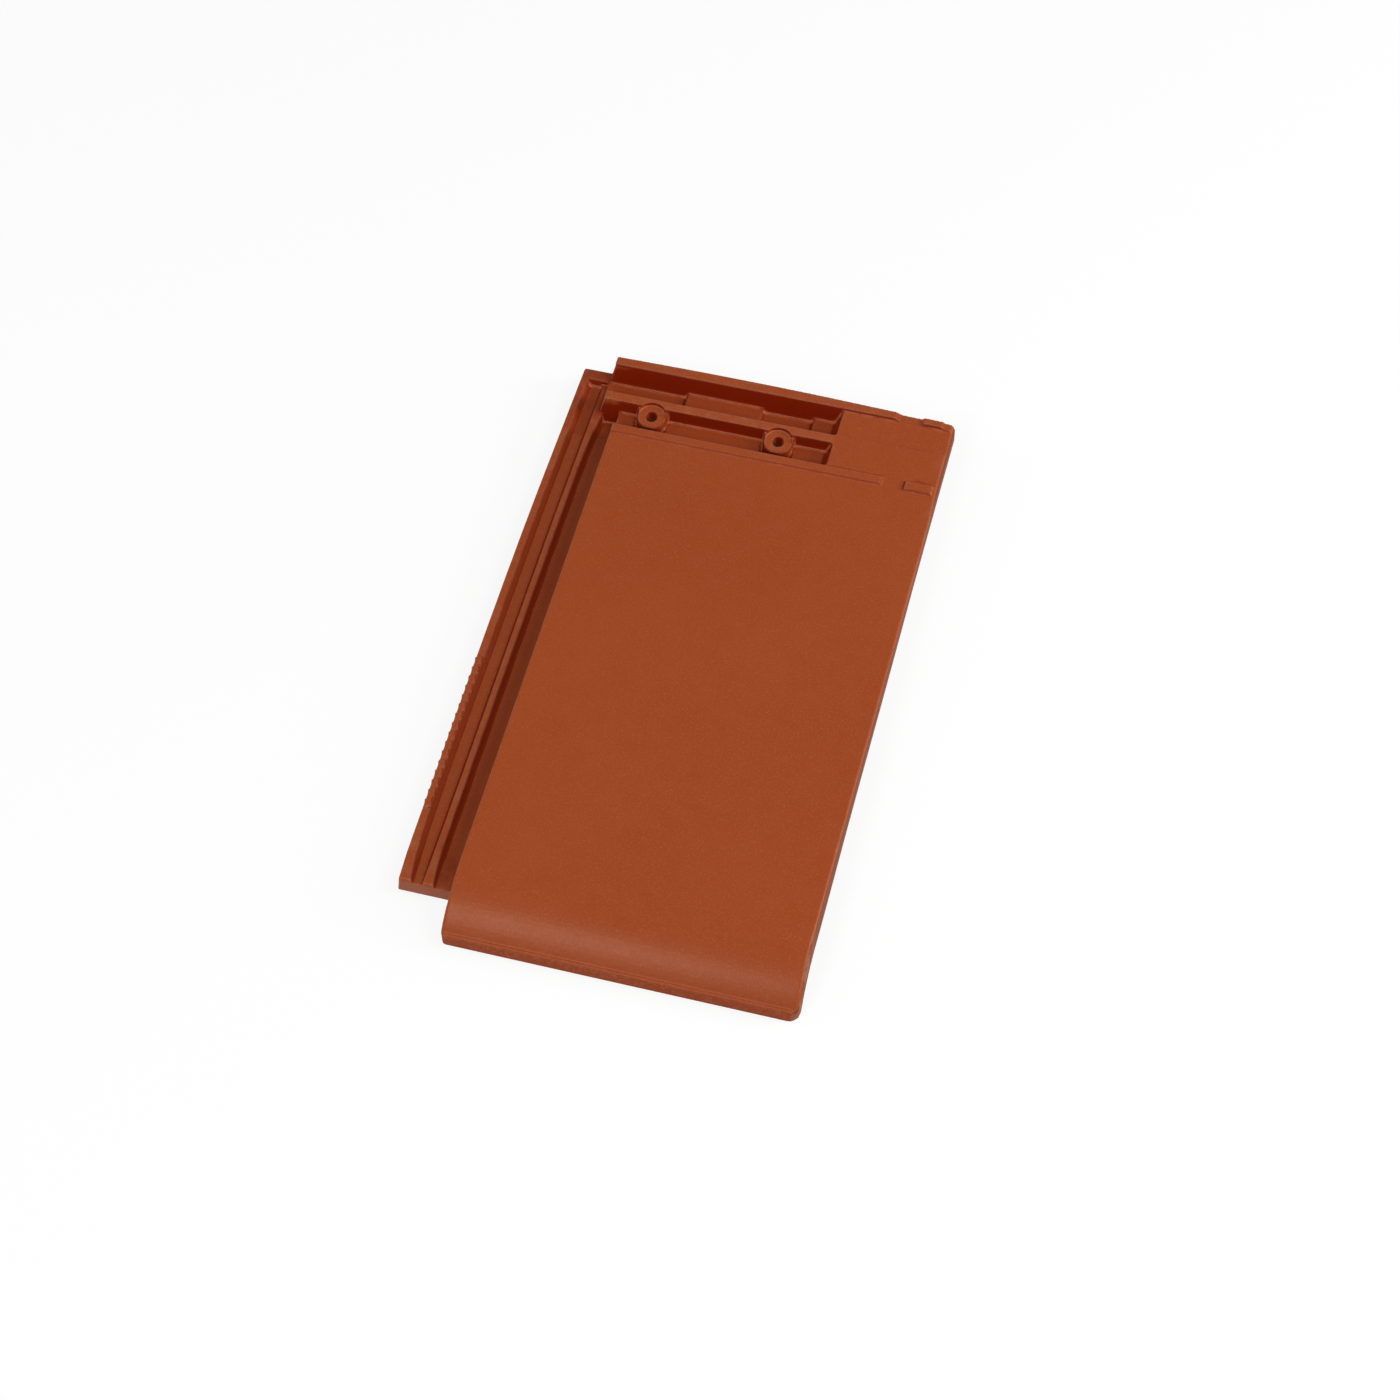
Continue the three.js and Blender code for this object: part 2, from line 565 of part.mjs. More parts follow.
function buildTile() {
  const under = -tile.thickness;
  let body = slab().add(sideBar());

  // Ribs across the top, with a gap before the short block on the right.
  const ribFront = (height, leftX, endX) => [[leftX, 0], [leftX, height], [endX - 2 * height, height, 1.5],
    [endX + 0.5, 0]];
  const ridgeStart = headGroove.endY - 0.2; // the head groove trims its front
  body = body
    .add(crossRib(faceRib.startY, faceRib.endY, faceRib.height, 0.9,
      ribFront(faceRib.height, 0, faceRib.endX)))
    .add(crossRib(ridgeStart, tile.length, ridge.height, headGroove.backDraft,
      ribFront(ridge.height, headLock.leftEndX, ridge.endX)))
    .add(crossRib(faceRib.startY - rightBlock.faceRibExtra, faceRib.endY, rightBlock.faceRib[1][1], 0.9,
      rightBlock.faceRib))
    .add(crossRib(ridgeStart, tile.length, ridge.height, headGroove.backDraft, rightBlock.ridge));

  // Underside: foot rib, side rib that sits in the next tile's groove, and the nibs.
  const footHalf = [footRib.rootWidth / 2, footRib.tipWidth / 2];
  body = body.add(alongX([
    [footRib.centreY - footHalf[0], under + 1],
    [footRib.centreY - footHalf[1], footRib.tip, 2],
    [footRib.centreY + footHalf[1], footRib.tip, 2],
    [footRib.centreY + footHalf[0], under + 1],
  ], footRib.startX, footRib.endX));
  body = body.add(alongY([
    [overRib.left, under + 1],
    [overRib.left + 1, overRib.tip, 1.2],
    [overRib.right - 1, overRib.tip, 1.2],
    [overRib.right, under + 1],
  ], overRib.startY, overRib.endY));
  nib.centresX.forEach((x) => {
    const half = nib.width / 2;
    const across = alongX([
      [nib.startY, headLock.underside + 1],
      [nib.startY, -tile.restDrop, tile.edgeRadius],
      [nib.endY - nib.draft, -tile.restDrop, tile.edgeRadius],
      [nib.endY, headLock.underside + 1],
    ], x - half, x + half);
    const lengthwise = alongY([
      [x - half, headLock.underside + 1],
      [x - half + nib.draft, -tile.restDrop, tile.edgeRadius],
      [x + half - nib.draft, -tile.restDrop, tile.edgeRadius],
      [x + half, headLock.underside + 1],
    ], nib.startY, nib.endY);
    body = body.add(across.intersect(lengthwise));
  });

  // Channels of the side lock and grooves of the head lock.
  body = body
    .subtract(sideGrooveCut().add(waterChannelCut()).subtract(grooveRamp()))
    .subtract(sunkRibCut());
  headGroove.floors.forEach((floor) => { body = body.subtract(pocket(headGroove, floor)); });
  nailGroove.floors.forEach((floor) => { body = body.subtract(pocket(nailGroove, floor)); });

  // Plain land on the right, a little lower behind its step.
  body = body.subtract(alongX([
    [land.stepY, ABOVE],
    [land.stepY, 0],
    [land.stepY + 1, -land.drop, 1],
    [headGroove.endY - headGroove.backDraft * land.drop, -land.drop, 3],
    [headGroove.endY + headGroove.backDraft * ridge.height, ridge.height],
    [headGroove.endY + headGroove.backDraft * ABOVE, ABOVE],
  ], land.startX, tile.faceWidth + 3));

  // Nail bosses, each with a seat for the nail's head and its hole.
  boss.centresX.forEach((x) => {
    const y = boss.centreY;
    const neckZ = boss.top - nailHole.taperDepth;
    const seatSpread = boss.seatDraft * (ABOVE - boss.top);
    body = body
      .add(bossBody(x))
      .subtract(round(boss.seatRadius + seatSpread, boss.seatRadius, x, y, boss.top, ABOVE, 40, tiltTop))
      .subtract(round(nailHole.mouthRadius, nailHole.radius, x, y, neckZ, boss.top + 1, 28))
      .subtract(round(nailHole.radius, nailHole.radius, x, y, headLock.underside - 1, neckZ + 0.01, 28));
  });

  // Wider soft edge at the right of the head.
  const chamfer = (width) => [
    [tile.faceWidth - width, ABOVE],
    [tile.faceWidth - width, 0],
    [tile.faceWidth, -width * (rightSide.chamferDrop / rightSide.chamferWidth)],
    [tile.faceWidth + 4, -width * (rightSide.chamferDrop / rightSide.chamferWidth) * 2],
    [tile.faceWidth + 4, ABOVE],
  ];
  const [fadeY, fullY] = rightSide.chamferY;
  body = body.subtract(loft([
    [-tile.length - 1, chamfer(rightSide.chamferWidth)],
    [-fullY, chamfer(rightSide.chamferWidth)],
    [-fadeY, chamfer(0.1)],
  ], new THREE.Matrix4().makeBasis(X, Z, Y.clone().negate())));

  body = body.intersect(rim());
  serrations().forEach((tooth) => { body = body.add(tooth); });
  return body;
}

/** three.js geometry of a solid, without the slivers that cuts leave. */
function geometryOf(body) {
  const mesh = body.getMesh();
  const cut = new THREE.BufferGeometry();
  cut.setAttribute('position', new THREE.Float32BufferAttribute(mesh.vertProperties, 3));
  cut.setIndex(Array.from(mesh.triVerts));
  const geometry = mergeVertices(cut, WELD);
  const index = geometry.index.array;
  const triangles = [];
  for (let i = 0; i < index.length; i += 3) triangles.push(Array.from(index.slice(i, i + 3)));
  const whole = triangles.filter((triangle) => new Set(triangle).size === 3);
  turnFlatEdges(whole, geometry.attributes.position);
  geometry.setIndex(whole.flat());
  geometry.computeVertexNormals();
  return geometry;
}

/** Turns the long edge of every triangle that has no height, so that it gets some. */
function turnFlatEdges(triangles, position) {
  const at = (i) => new THREE.Vector3().fromBufferAttribute(position, i);
  const owner = new Map();
  const claim = (triangle) => triangle.forEach((a, i) => owner.set(`${a} ${triangle[(i + 1) % 3]}`, triangle));
  triangles.forEach(claim);
  triangles.forEach((triangle) => {
    const turned = triangle.map((_, i) => [i, (i + 1) % 3, (i + 2) % 3].map((k) => triangle[k]));
    const length = ([a, b]) => at(a).distanceTo(at(b));
    const [a, b, c] = turned.toSorted((one, other) => length(other) - length(one))[0];
    const side = new THREE.Line3(at(a), at(b));
    const foot = side.closestPointToPoint(at(c), true, new THREE.Vector3());
    if (foot.distanceTo(at(c)) > WELD) return;
    const neighbour = owner.get(`${b} ${a}`);
    const d = neighbour.find((corner) => corner !== a && corner !== b);
    triangle.splice(0, 3, c, a, d);
    neighbour.splice(0, 3, d, b, c);
    claim(triangle);
    claim(neighbour);
  });
}

const roofTile = new THREE.Mesh(geometryOf(buildTile()), clay);
roofTile.name = 'roof_tile';

// The tile lies on its lip and nibs, centred over the origin.
roofTile.geometry.computeBoundingBox();
const { min, max } = roofTile.geometry.boundingBox;
roofTile.position.set(-(min.x + max.x) / 2, -(min.y + max.y) / 2, -min.z);

const group = new THREE.Group();
group.add(roofTile);

export default group;
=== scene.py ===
# %% [markdown]
# # An interlocking clay roof tile
#
# One pressed and fired piece of clay, with a satin engobe on its face and bare clay below. This lesson
# takes the tile's solid as a fixed frame, gives it the soft edges that clay keeps from its mould, and
# then builds its finish out of nodes. It needs no pictures.

import math

import bpy
import numpy as np
from mathutils import Euler, Matrix, Vector
from mathutils.bvhtree import BVHTree


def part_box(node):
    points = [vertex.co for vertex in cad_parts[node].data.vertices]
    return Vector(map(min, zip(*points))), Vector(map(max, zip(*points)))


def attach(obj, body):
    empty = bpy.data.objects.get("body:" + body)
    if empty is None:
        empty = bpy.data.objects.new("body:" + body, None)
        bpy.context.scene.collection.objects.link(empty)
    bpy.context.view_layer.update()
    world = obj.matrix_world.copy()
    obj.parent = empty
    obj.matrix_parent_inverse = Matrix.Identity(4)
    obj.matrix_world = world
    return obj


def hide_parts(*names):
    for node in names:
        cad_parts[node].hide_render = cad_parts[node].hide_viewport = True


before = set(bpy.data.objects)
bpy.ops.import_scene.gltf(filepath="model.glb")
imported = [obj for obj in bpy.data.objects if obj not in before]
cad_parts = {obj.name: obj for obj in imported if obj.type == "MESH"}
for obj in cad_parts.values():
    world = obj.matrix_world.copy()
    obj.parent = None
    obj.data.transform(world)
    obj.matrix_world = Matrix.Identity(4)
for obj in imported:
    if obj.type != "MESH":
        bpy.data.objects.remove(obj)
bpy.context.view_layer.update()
MM = 0.001

# %% [markdown]
# The frame lies with its lip and nibs on the floor. The sizes below come back in many cells: the level of
# the weathered face, the front of the lip and the back of the head, all read from the node's box, so that
# the finish stays in place if the tile is made longer or thicker.

# %% Levels and edges of the tile
low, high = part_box("roof_tile")
RIDGE_HEIGHT = 2 * MM
FACE_Z = high.z - RIDGE_HEIGHT
FRONT_Y, BACK_Y = low.y, high.y
LEFT_X, RIGHT_X = low.x, high.x
print(f"tile {RIGHT_X - LEFT_X:.4f} x {BACK_Y - FRONT_Y:.4f} m, face at {FACE_Z:.4f} m")

# %% [markdown]
# The camera comes first, because every finish is judged through it. It is a long lens that looks down on
# the tile from the front right. `to_track_quat` aims it, and a small roll about its own axis sets the
# horizon as a hand-held camera has it.

# %% Camera
CAMERA_AT = Vector((0.36448, -1.25010, 1.91906))
AIM = Vector((0.01516, -0.01314, 0.0))
ROLL = math.radians(-1.305)
camera = bpy.data.objects.new("camera", bpy.data.cameras.new("camera"))
bpy.context.scene.collection.objects.link(camera)
camera.data.sensor_width = 36
camera.data.lens = 87.43
turn = (AIM - CAMERA_AT).to_track_quat("-Z", "Y").to_matrix().to_4x4()
camera.matrix_world = Matrix.Translation(CAMERA_AT) @ turn @ Matrix.Rotation(ROLL, 4, "Z")
bpy.context.scene.camera = camera
print(f"camera {(CAMERA_AT - AIM).length:.3f} m from its aim")

# %% [markdown]
# ## Light
#
# Clay with a satin skin shows its shape by soft light from a few sides. A low softbox on the right models
# the ribs and grooves, and one above it lights the face. A smaller one stands high in front, where the
# rolled nose mirrors it as a narrow bright band and the flat face doesn't. A weak one on the left catches
# the outer rib's edge. The world fills the rest.


# %% Softboxes and world
def softbox(name, azimuth, elevation, distance, width, watts):
    """A square panel of light that faces the tile. Azimuth 0 is beyond the head, 90 on the right."""
    panel = bpy.data.objects.new(name, bpy.data.lights.new(name, "AREA"))
    bpy.context.scene.collection.objects.link(panel)
    panel.data.size = width
    panel.data.energy = watts
    turn = math.radians(azimuth)
    rise = math.radians(elevation)
    at = distance * Vector(
        (math.sin(turn) * math.cos(rise), math.cos(turn) * math.cos(rise), math.sin(rise))
    )
    panel.matrix_world = Matrix.Translation(at) @ (-at).to_track_quat("-Z", "Y").to_matrix().to_4x4()
    return panel


softbox("low_right_softbox", 78, 21, 2.2, 0.8, 27)
softbox("right_softbox", 92, 56, 2.2, 0.8, 15)
softbox("front_softbox", 198, 48, 2.2, 0.6, 14)
softbox("low_left_softbox", 268, 26, 2.2, 0.5, 6)

world = bpy.data.worlds.new("studio")
bpy.context.scene.world = world
world.use_nodes = True
backdrop = world.node_tree.nodes["Background"]
backdrop.inputs["Color"].default_value = (1, 1, 1, 1)
backdrop.inputs["Strength"].default_value = 0.34
bpy.context.scene.view_settings.view_transform = "Standard"

# %% [markdown]
# ## Writing shader maths as expressions
#
# A long chain of Math nodes is hard to read. The class below wraps one socket and adds the node for each
# operator, so that `grain * 0.3 + 0.5` builds its own nodes. `Finish` holds one material and makes every
# other node, with its settings first and its sockets after.


# %% Helpers for materials
class Wire:
    """One output socket, with arithmetic that adds Math nodes."""

    def __init__(self, finish, socket):
        self.finish, self.socket = finish, socket

    def math(self, operation, *others):
        return self.finish.node("Math", {"operation": operation}, self, *others)

    def __add__(self, other):
        return self.math("ADD", other)

    def __mul__(self, other):
        return self.math("MULTIPLY", other)

    def __sub__(self, other):
        return self.math("SUBTRACT", other)

    def __rsub__(self, other):
        return self.finish.node("Math", {"operation": "SUBTRACT"}, other, self)

    __radd__ = __add__

    def step(self, start, end):
        """0 below start, 1 above end, smooth between them."""
        return self.finish.node(
            "MapRange",
            {"interpolation_type": "SMOOTHSTEP"},
            **{"Value": self, "From Min": start, "From Max": end},
        )


class Finish:
    """A material and the nodes in it."""

    def __init__(self, name):
        self.material = bpy.data.materials.new(name)
        self.material.use_nodes = True
        self.tree = self.material.node_tree
        self.shader = self.tree.nodes["Principled BSDF"]

    def node(self, kind, settings=None, *values, out=0, **named):
        """Adds a node, sets it up, feeds its sockets and returns one output."""
        made = self.tree.nodes.new("ShaderNode" + kind)
        for key, value in (settings or {}).items():
            setattr(made, key, value)
        for key, value in [*enumerate(values), *named.items()]:
            self.feed(made.inputs[key], value)
        return Wire(self, made.outputs[out])

    def feed(self, socket, value):
        if isinstance(value, Wire):
            self.tree.links.new(value.socket, socket)
        else:
            socket.default_value = value

    def set(self, **sockets):
        for key, value in sockets.items():
            self.feed(self.shader.inputs[key.replace("_", " ")], value)

    def noise(self, at, scale, detail=2.0, rough=0.5):
        return self.node(
            "TexNoise", {}, Vector=at, Scale=scale, Detail=detail, Roughness=rough
        )

    def mix(self, amount, one, other):
        """A colour between two others."""
        made = self.tree.nodes.new("ShaderNodeMix")
        made.data_type = "RGBA"
        self.feed(made.inputs["Factor"], amount)
        for socket, value in ((made.inputs[6], one), (made.inputs[7], other)):
            self.feed(socket, value if isinstance(value, Wire) else (*value, 1))
        return Wire(self, made.outputs[2])


# %% [markdown]
# ## The pressed shape
#
# A mould leaves no sharp corner in clay, and a tile press softens every edge by about a millimetre. A
# Bevel modifier needs clean edges, and the solid has thousands of short ones where its grooves meet. So a
# copy of the solid is rebuilt as even voxels, which keeps its form and its holes, then smoothed, which
# rounds convex and hollow corners alike, and last thinned where it is flat.

# %% Copy the solid
WELD = 0.002 * MM
bpy.ops.object.select_all(action="DESELECT")
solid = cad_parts["roof_tile"]
solid.select_set(True)
bpy.context.view_layer.objects.active = solid
bpy.ops.object.duplicate()
tile = bpy.context.active_object
tile.name = "tile_body"
for key in [key for key in tile.keys() if key.startswith("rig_")]:
    del tile[key]
tile.parent = None
bpy.ops.object.mode_set(mode="EDIT")
bpy.ops.mesh.select_all(action="SELECT")
bpy.ops.mesh.remove_doubles(threshold=WELD)
bpy.ops.object.mode_set(mode="OBJECT")
print("copied", len(tile.data.polygons), "faces")


# %% [markdown]
# An edge that runs along the voxels' own grid comes out in long waves, because its vertices snap to one
# layer of voxels or the next. So the copy is turned askew to the grid before the remesh and turned back
# after it. The waves are then too short to see.


# %% Soften it
def apply_modifier(piece, kind, **settings):
    """Adds one modifier to a piece, sets it and applies it."""
    bpy.ops.object.select_all(action="DESELECT")
    piece.select_set(True)
    bpy.context.view_layer.objects.active = piece
    modifier = piece.modifiers.new(kind.lower(), kind)
    for key, value in settings.items():
        setattr(modifier, key, value)
    bpy.ops.object.modifier_apply(modifier=modifier.name)


VOXEL = 0.6 * MM
ASKEW = Euler((0.43, 0.31, 0.57)).to_matrix().to_4x4()
tile.data.transform(ASKEW)
apply_modifier(tile, "REMESH", mode="VOXEL", voxel_size=VOXEL, adaptivity=0.0)
tile.data.transform(ASKEW.inverted())
apply_modifier(tile, "SMOOTH", factor=0.5, iterations=1)
print("even voxels:", len(tile.data.polygons), "faces")

# %% Thin it
MOST_TRIANGLES = 160_000
share = MOST_TRIANGLES / (2 * len(tile.data.polygons))  # a voxel's face is two triangles
apply_modifier(tile, "DECIMATE", ratio=share, use_collapse_triangulate=True)
print("thinned to", len(tile.data.polygons), "triangles")

# %% [markdown]
# The finish needs to know more than a shape: edges are paler, partly as wear and partly as a painted
# highlight, hollows take painted shade, and the underside has no engobe. A material can't see any of this
# by itself, so each vertex will store a few numbers as attributes. First come helpers that read the mesh
# as arrays and write the result.


# %% Reading and storing vertex values
def read(items, name, width, kind=np.float32):
    """One property of all items of a mesh, a row for each."""
    values = np.zeros(len(items) * width, kind)
    items.foreach_get(name, values)
    return values.reshape(-1, width)


def store(name, values):
    """Writes one number a vertex to an attribute of the tile."""
    attribute = tile.data.attributes.new(name, "FLOAT", "POINT")
    attribute.data.foreach_set("value", values.astype(np.float32))
    print(f"{name}: {values.min():.2f} to {values.max():.2f}, mean {values.mean():.3f}")


# %% [markdown]
# Where two walls come very near each other, the voxels can leave a speck beside the tile. So only the
# triangles that hang together with the lowest vertex are kept.
#
# A value at a vertex is spread over the triangles around it, and collapsing left triangles on the walls
# that are as long as a groove. Each round below halves long edges on the walls, and at most one edge of a
# triangle: its longest, if it is also the longest of the triangle beyond it. Each cut then makes two
# triangles of one on both sides, and the skin stays closed. The face stays as it is, because nothing
# changes along it.

# %% Drop the specks
WALL_NORMAL = 0.95  # a normal that rises less than this belongs to a wall
at = read(tile.data.vertices, "co", 3)
steep = abs(read(tile.data.vertex_normals, "vector", 3)[:, 2]) < WALL_NORMAL
triangles = read(tile.data.loops, "vertex_index", 1, np.int32).reshape(-1, 3)
kept = np.arange(len(at)) == at[:, 2].argmin()
reached = 0
while reached < kept.sum():
    reached = kept.sum()
    kept[triangles[kept[triangles].any(axis=1)]] = True
print("specks:", len(at) - reached, "vertices")
triangles = (np.cumsum(kept) - 1)[triangles[kept[triangles].all(axis=1)]]
at, steep = at[kept], steep[kept]

# %% Even out the walls
LONGEST = 4 * MM
halved = True
while halved:
    pairs = np.sort(np.stack((triangles, np.roll(triangles, -1, axis=1)), axis=2), axis=2)
    edges, sides = np.unique(pairs[..., 0] * len(at) + pairs[..., 1], return_inverse=True)
    sides = sides.reshape(-1, 3)
    start, end = edges // len(at), edges % len(at)
    length = np.linalg.norm(at[end] - at[start], axis=1) * (steep[start] & steep[end])
    first = length[sides].argmax(axis=1)
    longest = sides[np.arange(len(sides)), first]
    halve = (length > LONGEST) & (np.bincount(longest, minlength=len(edges)) == 2)
    halved = halve.sum()
    middle = (len(at) + np.cumsum(halve) - 1)[longest]
    one, three = (triangles[np.arange(len(triangles)), (first + i) % 3] for i in (0, 2))
    cut = halve[longest]
    triangles[cut, first[cut]] = middle[cut]
    triangles = np.concatenate((triangles, np.stack((one, middle, three), axis=1)[cut]))
    at = np.concatenate((at, (at[start[halve]] + at[end[halve]]) / 2))
    steep = np.concatenate((steep, np.full(halved, True)))
tile.data.clear_geometry()
tile.data.from_pydata(at, [], triangles)
print("evened out to", len(tile.data.polygons), "triangles")

# %% [markdown]
# Collapsing edges can push a vertex a few thousandths of a millimetre out of the solid's box, or into the
# floor, so each vertex goes back into the box. The long triangles that stay on the flats would pull the
# shading of a rounded edge across the face beside it. Weighted normals follow the largest faces, so the
# flats look flat.

# %% Shade it
boxed = np.clip(read(tile.data.vertices, "co", 3), low, high)
tile.data.vertices.foreach_set("co", boxed.ravel())
tile.data.update()
bpy.ops.object.shade_smooth()
apply_modifier(tile, "WEIGHTED_NORMAL", mode="FACE_AREA", weight=50)
at = read(tile.data.vertices, "co", 3) / MM
normal = read(tile.data.vertex_normals, "vector", 3)
start, end = read(tile.data.edges, "vertices", 2, np.int32).T
count = len(at)
neighbours = np.bincount(start, minlength=count) + np.bincount(end, minlength=count)


def gather(from_start, from_end):
    """The mean, at each vertex, of a value that each of its edges holds for that end."""
    return (np.bincount(start, from_start, count) + np.bincount(end, from_end, count)) / neighbours


# %% [markdown]
# The curvature of the mesh tells an edge from a hollow. An edge's neighbours lie under its vertex's
# tangent plane and a hollow's lie over it. The attribute `bend` is the mean over the neighbours of one
# over the radius in millimetres, and is above 0 on edges. `right` and `front` say how far a surface faces
# those ways.

# %% Bend and facing
LEAST_SQUARE = 0.05  # of an edge's length, so that a very short edge doesn't count as a sharp bend
step = at[end] - at[start]
square = np.maximum((step**2).sum(1), LEAST_SQUARE)
bend = gather(
    -2 * (step * normal[start]).sum(1) / square, 2 * (step * normal[end]).sum(1) / square
)
bend = 0.5 * bend + 0.5 * gather(bend[end], bend[start])
store("bend", bend)
store("right", normal[:, 0])
store("front", -normal[:, 1])

# %% [markdown]
# Painted shade in a groove covers its whole width, more than a curvature can tell. The attribute `cavity`
# says how much of what a vertex looks at is the tile itself, as ambient occlusion measures shade. Casting
# rays from each vertex is slow, so the level of the tile's top is measured once on a grid of a
# millimetre, and each vertex then looks up how high the tile rises in twelve directions. A floor counts
# the walls around it. A wall also counts the floor that it looks down on, and a wall on the outside looks
# at nothing. `under` marks what lies below the tile.

# %% Level of the tile's top
REACH = 40  # millimetres that a vertex looks around
surface = BVHTree.FromPolygons(
    [vertex.co for vertex in solid.data.vertices],
    [face.vertices[:] for face in solid.data.polygons],
)
columns = np.arange(LEFT_X / MM - REACH, RIGHT_X / MM + REACH)
rows = np.arange(FRONT_Y / MM - REACH, BACK_Y / MM + REACH)
top = np.zeros((len(columns), len(rows)))
for i, x in enumerate(columns):
    if LEFT_X / MM < x < RIGHT_X / MM:
        for j, y in enumerate(rows):
            found = surface.ray_cast((x * MM, y * MM, 1), (0, 0, -1))[0]
            if found:
                top[i, j] = found.z / MM


def level_at(spot):
    """The level of the tile's top at each place, in millimetres."""
    i = np.clip((spot[:, 0] - columns[0]).round().astype(int), 0, len(columns) - 1)
    j = np.clip((spot[:, 1] - rows[0]).round().astype(int), 0, len(rows) - 1)
    return top[i, j]


print(f"measured {top.size} places, highest {top.max():.1f} mm")

# %% Cavity and underside
DIRECTIONS, DISTANCES = 12, 12
NEAREST = 1.5
LIFT = 0.4  # a rise of less than this is the tile's own rounding
OVERHANG = 2  # a vertex that lies further than this below the top is under the tile
UNDERSIDE_NORMAL = -0.3
OPEN_WALL, GROOVE_WALL = 0.30, 0.42  # how much of the tile an outside wall and a groove's wall see
FLAT_NORMAL, STEEP_NORMAL = 0.96, 0.76
SMOOTHINGS = 3
floor_part, wall_part, wall_whole = np.zeros(count), np.zeros(count), np.zeros(count)
for turn in np.linspace(0, 2 * math.pi, DIRECTIONS, endpoint=False):
    way = np.array((math.cos(turn), math.sin(turn)))
    rise = np.full(count, -math.pi / 2)
    for distance in np.geomspace(NEAREST, REACH, DISTANCES):
        level = level_at(at[:, :2] + way * distance)
        angle = np.arctan2(level - at[:, 2] - LIFT, distance)
        rise = np.where(level > 0, np.maximum(rise, angle), rise)
    facing = np.maximum(normal[:, :2] @ way, 0)
    floor_part += np.sin(np.maximum(rise, 0)) ** 2 / DIRECTIONS
    wall_part += facing * (0.5 + (rise + np.sin(rise) * np.cos(rise)) / math.pi)
    wall_whole += facing
wall_part /= np.maximum(wall_whole, 0.1)
wall_part *= np.clip((wall_part - OPEN_WALL) / (GROOVE_WALL - OPEN_WALL), 0, 1)
steepness = np.clip((FLAT_NORMAL - normal[:, 2]) / (FLAT_NORMAL - STEEP_NORMAL), 0, 1)
level_outside = level_at(at[:, :2] + normal[:, :2] * NEAREST)
under = (normal[:, 2] < UNDERSIDE_NORMAL) | (level_outside > at[:, 2] + OVERHANG)
cavity = (1 - steepness) * 0.5 * floor_part + steepness * wall_part
cavity = np.where(under, 0, cavity)
for _ in range(SMOOTHINGS):
    cavity = 0.5 * cavity + 0.5 * gather(cavity[end], cavity[start])
store("cavity", cavity)
store("under", under)

# %% [markdown]
# ## Engobe over clay
#
# The tile's face is dipped in a red-brown engobe, a thin slip that fires to a satin skin. Below the
# tile the clay is bare, paler and dull. One material holds both, because the skin is paler over edges,
# partly worn thin and partly as a painted highlight, and ends in a ragged line where the sides turn
# under. Its parts are a mask for the skin, two colours with their own grain, painted shade and painted
# highlights, and a bump for the fine tooth of each. Each noise below has a scale in cells per metre, from
# clouds of 9 cm down to specks of half a millimetre.

# %% Where things are
clay = Finish("engobed_clay")
place = clay.node("TexCoord", {}, out=3)
across = clay.node("SeparateXYZ", {}, place, out=0)
along = clay.node("SeparateXYZ", {}, place, out=1)
height = clay.node("SeparateXYZ", {}, place, out=2)
bend = clay.node("Attribute", {"attribute_name": "bend"}, out=2)
under = clay.node("Attribute", {"attribute_name": "under"}, out=2)
right = clay.node("Attribute", {"attribute_name": "right"}, out=2)
front = clay.node("Attribute", {"attribute_name": "front"}, out=2)
cavity = clay.node("Attribute", {"attribute_name": "cavity"}, out=2)
cloud = clay.noise(place, 11, 2)
patch = clay.noise(place, 70, 3, 0.55)
peel = clay.noise(place, 330, 2, 0.5)
grain = clay.noise(place, 800, 2, 0.5)
speck = clay.noise(place, 1900, 2, 0.5)

# %% [markdown]
# Shade is painted into the engobe as a deep dark red: at the foot of each wall, across the grooves, in
# the deep part of the head lock and on the small front faces that rise above the face. Walls that face
# right, towards the lights, get less of it, and the outer rib's walls the least. A pale line along the
# foot of the walls that face the front is a painted highlight. The edges are paler, partly as wear and
# partly as a painted highlight.

# %% Colour of the engobe, with painted shade and a painted highlight
ENGOBE = (0.318, 0.0590, 0.0140)
ENGOBE_DEEP = (0.272, 0.0450, 0.0090)
ENGOBE_PALE = (0.364, 0.0870, 0.0330)
# The dark red of the painted shade
PAINTED_SHADE_RED = (0.195, 0.0115, 0.0004)
OUTER_RIB = 8 * MM  # its width
HEAD_LOCK = 58 * MM  # from its front groove to the tile's back
GROOVE_DEPTH = 4 * MM
engobe = clay.mix((cloud - 0.5) * 0.9 + 0.25, ENGOBE, ENGOBE_DEEP)
engobe = clay.mix((patch - 0.5) * 0.35 + 0.08, engobe, ENGOBE_PALE)
engobe = clay.mix(grain.step(0.50, 0.70) * 0.60, engobe, ENGOBE_PALE)
engobe = clay.mix(speck.step(0.50, 0.30) * 0.80, engobe, ENGOBE_DEEP)
hollow = (0 - bend).step(0.06, 0.36)
inward = across.step(LEFT_X + OUTER_RIB, LEFT_X + OUTER_RIB + 2 * MM)
right_wall = right.step(0.40, 0.80) * (0.65 - inward * 0.30)
low_rib = front.step(0.25, 0.70) * height.step(FACE_Z - 0.4 * MM, FACE_Z + 0.2 * MM)
basin = along.step(BACK_Y - HEAD_LOCK - 6 * MM, BACK_Y - HEAD_LOCK)
basin = basin * (1 - height.step(FACE_Z - GROOVE_DEPTH - 3 * MM, FACE_Z - GROOVE_DEPTH))
# Painted shade: dark red where the tile hides much of the sky, in hollows, in the deep head lock and on
# front faces above the face, with less of it on walls that face right.
painted_shade = (cavity.step(0.15, 0.41) - right_wall).math("MAXIMUM", hollow * 0.75 - right_wall)
painted_shade = painted_shade.math("MAXIMUM", basin * 0.35).math("MAXIMUM", low_rib * 0.9)
